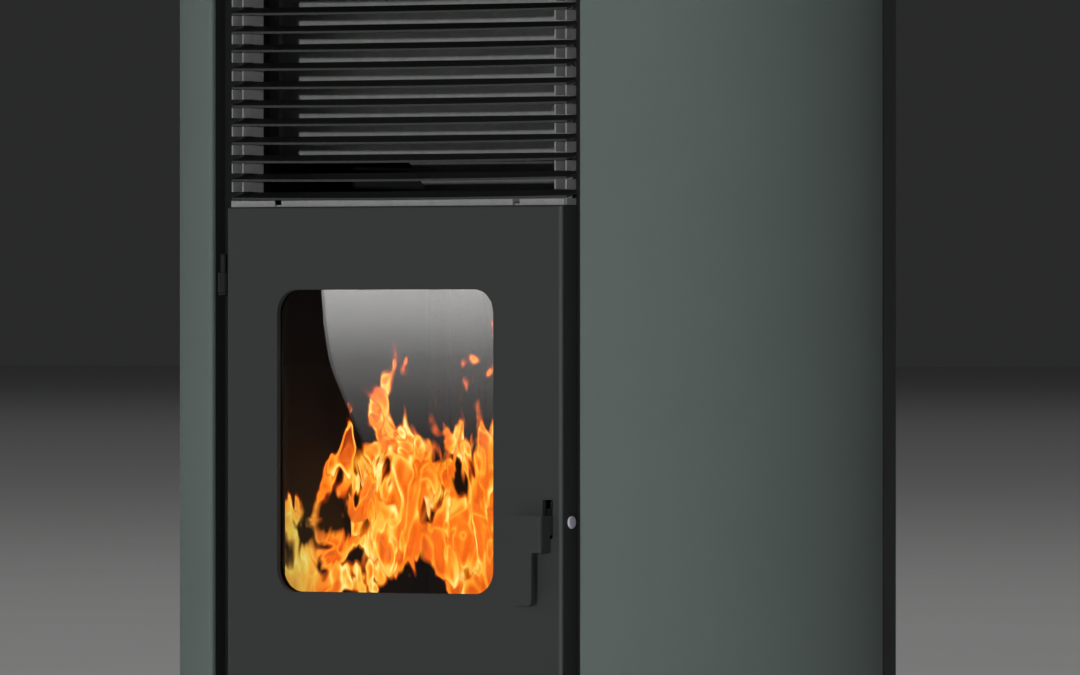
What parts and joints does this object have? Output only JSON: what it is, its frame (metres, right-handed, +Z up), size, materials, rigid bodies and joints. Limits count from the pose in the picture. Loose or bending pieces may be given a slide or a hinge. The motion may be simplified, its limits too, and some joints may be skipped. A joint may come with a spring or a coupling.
{
  "type": "pellet stove",
  "caption": "Oval free-standing pellet stove with curved side panels, a glazed fire door, a warm-air grille, a top hopper and an ash drawer.",
  "frame": {"origin": "centre of the bounding box's base, on the floor", "axes": "+Z up, the door and grille face -Y, +X to the right of someone facing the door"},
  "size_m": [0.615, 0.4988, 1.0623],
  "materials": {
    "green_paint": "satin",
    "anthracite_paint": "satin",
    "black_paint": "matte",
    "cast_iron": "rough",
    "galvanised": "satin",
    "bare_steel": "brushed",
    "rubber": "matte",
    "glass": "polished",
    "rope": "matte",
    "firebrick": "matte",
    "black_plastic": "matte",
    "display_glass": "gloss"
  },
  "bodies": {
    "stove_body": {"base_plate": "black_paint", "foot_front_left": "rubber", "foot_front_right": "rubber", "foot_rear_left": "rubber", "foot_rear_right": "rubber", "side_panel_left": "green_paint", "side_panel_right": "green_paint", "rear_casing": "black_paint", "top_plate": "anthracite_paint", "post_left": "black_paint", "post_right": "black_paint", "hinge_pin_lower": "bare_steel", "hinge_pin_upper": "bare_steel", "latch_catch": "bare_steel", "firebox": "black_paint", "fire_back": "cast_iron", "baffle_plate": "firebrick", "burn_pot_holder": "cast_iron", "igniter": "bare_steel", "pellet_chute": "black_paint", "auger_tube": "galvanised", "auger_gearmotor": "galvanised", "hopper": "galvanised", "grille_slat_01": "anthracite_paint", "grille_slat_02": "anthracite_paint", "grille_slat_03": "anthracite_paint", "grille_slat_04": "anthracite_paint", "grille_slat_05": "anthracite_paint", "grille_slat_06": "anthracite_paint", "grille_slat_07": "anthracite_paint", "grille_slat_08": "anthracite_paint", "grille_slat_09": "anthracite_paint", "grille_slat_10": "anthracite_paint", "grille_slat_11": "anthracite_paint", "grille_slat_12": "anthracite_paint", "grille_frame": "galvanised", "heat_shield": "galvanised", "upper_front_cover": "anthracite_paint", "lower_front_cover": "anthracite_paint", "ash_box": "black_paint", "smoke_fan_housing": "galvanised", "smoke_fan_motor": "black_paint", "flue_spigot": "black_paint", "air_inlet_pipe": "bare_steel", "room_fan_housing": "galvanised", "mains_inlet": "black_plastic", "control_panel": "display_glass"},
    "door": {"door_leaf": "anthracite_paint", "door_glass": "glass", "glass_clamp": "black_paint", "door_gasket": "rope", "handle_pin": "bare_steel"},
    "handle": {"door_handle": "anthracite_paint"},
    "pot": {"burn_pot": "cast_iron"},
    "drawer": {"ash_drawer": "anthracite_paint"},
    "lid": {"hopper_lid": "anthracite_paint"},
    "screw": {"auger_screw": "bare_steel"},
    "smoke_impeller": {"smoke_fan_impeller": "bare_steel"},
    "room_rotor": {"room_fan_rotor": "bare_steel"},
    "rocker": {"rocker_switch": "black_plastic"}
  },
  "joints": [
    {"name": "door_hinge", "type": "hinge", "parent": "stove_body", "child": "door", "pos_m": [-0.175, -0.2304, 0], "axis": [0, 0, 1], "range_deg": [-105, 0]},
    {"name": "handle_pivot", "type": "hinge", "parent": "door", "child": "handle", "pos_m": [0, -0.223, 0.5404], "axis": [1, 0, 0], "range_deg": [-35, 0]},
    {"name": "burn_pot_lift", "type": "slide", "parent": "stove_body", "child": "pot", "axis": [0, 0, 1], "range_m": [0, 0.055]},
    {"name": "ash_drawer_slide", "type": "slide", "parent": "stove_body", "child": "drawer", "axis": [0, -1, 0], "range_m": [0, 0.17]},
    {"name": "hopper_lid_hinge", "type": "hinge", "parent": "stove_body", "child": "lid", "pos_m": [0, 0.1804, 1.0556], "axis": [1, 0, 0], "range_deg": [-75, 0]},
    {"name": "auger_turn", "type": "hinge", "parent": "stove_body", "child": "screw", "pos_m": [0, 0.11469, 0.4278], "axis": [0, -0.4226, 0.9063], "continuous": true},
    {"name": "smoke_fan_turn", "type": "hinge", "parent": "stove_body", "child": "smoke_impeller", "pos_m": [0, 0.0794, 0.132], "axis": [1, 0, 0], "continuous": true},
    {"name": "room_fan_turn", "type": "hinge", "parent": "stove_body", "child": "room_rotor", "pos_m": [0, 0.0794, 0.104], "axis": [1, 0, 0], "continuous": true},
    {"name": "rocker_tilt", "type": "hinge", "parent": "stove_body", "child": "rocker", "pos_m": [0, 0.1964, 0.091], "axis": [1, 0, 0], "range_deg": [0, 12]}
  ]
}
